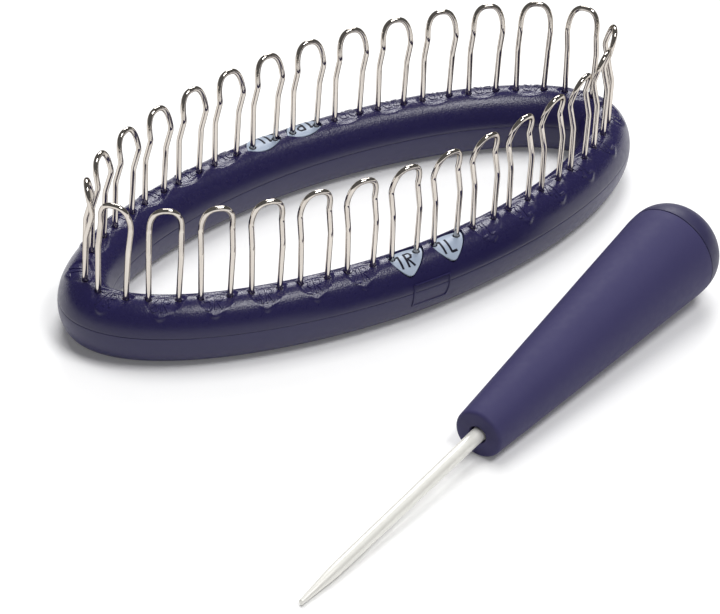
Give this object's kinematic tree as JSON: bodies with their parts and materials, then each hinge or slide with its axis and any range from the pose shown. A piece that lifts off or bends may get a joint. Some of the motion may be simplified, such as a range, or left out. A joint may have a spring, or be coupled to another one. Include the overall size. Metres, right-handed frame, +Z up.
{
  "type": "knitting loom",
  "caption": "Oval ring loom with upright wire loops for knitting a tube, and a pick tool with a tapered soft handle.",
  "frame": {"origin": "on the surface the loom stands on, under the middle of the box round the loom and its pick tool", "axes": "+X along the loom's long axis, +Z up, the pick tool lies on the -Y side"},
  "size_m": [0.2016, 0.1664, 0.0481],
  "materials": {
    "rim_plastic": "dark indigo, satin gloss, fine moulded grain",
    "marker_plastic": "pale blue-grey, satin",
    "loop_wire": "polished nickel plate on spring-steel wire",
    "handle_soft_touch": "soft-touch coating, matte",
    "cap_plastic": "satin",
    "rod_metal": "pearl anodised, satin"
  },
  "bodies": {
    "loom": {"ring_upper_body": "rim_plastic", "ring_base_cover": "rim_plastic", "marker_front_left": "marker_plastic", "marker_front_right": "marker_plastic", "marker_back_right": "marker_plastic", "marker_back_left": "marker_plastic", "wire_loop_01": "loop_wire", "wire_loop_02": "loop_wire", "wire_loop_03": "loop_wire", "wire_loop_04": "loop_wire", "wire_loop_05": "loop_wire", "wire_loop_06": "loop_wire", "wire_loop_07": "loop_wire", "wire_loop_08": "loop_wire", "wire_loop_09": "loop_wire", "wire_loop_10": "loop_wire", "wire_loop_11": "loop_wire", "wire_loop_12": "loop_wire", "wire_loop_13": "loop_wire", "wire_loop_14": "loop_wire", "wire_loop_15": "loop_wire", "wire_loop_16": "loop_wire", "wire_loop_17": "loop_wire", "wire_loop_18": "loop_wire", "wire_loop_19": "loop_wire", "wire_loop_20": "loop_wire", "wire_loop_21": "loop_wire", "wire_loop_22": "loop_wire", "wire_loop_23": "loop_wire", "wire_loop_24": "loop_wire", "wire_loop_25": "loop_wire", "wire_loop_26": "loop_wire", "wire_loop_27": "loop_wire", "wire_loop_28": "loop_wire"},
    "pick_tool": {"tool_handle": "handle_soft_touch", "tool_end_cap": "cap_plastic", "tool_pick_rod": "rod_metal"}
  },
  "joints": [
    {"name": "pick_tool_lift", "type": "slide", "parent": "loom", "child": "pick_tool", "axis": [0, 0, 1], "range_m": [0, 0.12]}
  ]
}
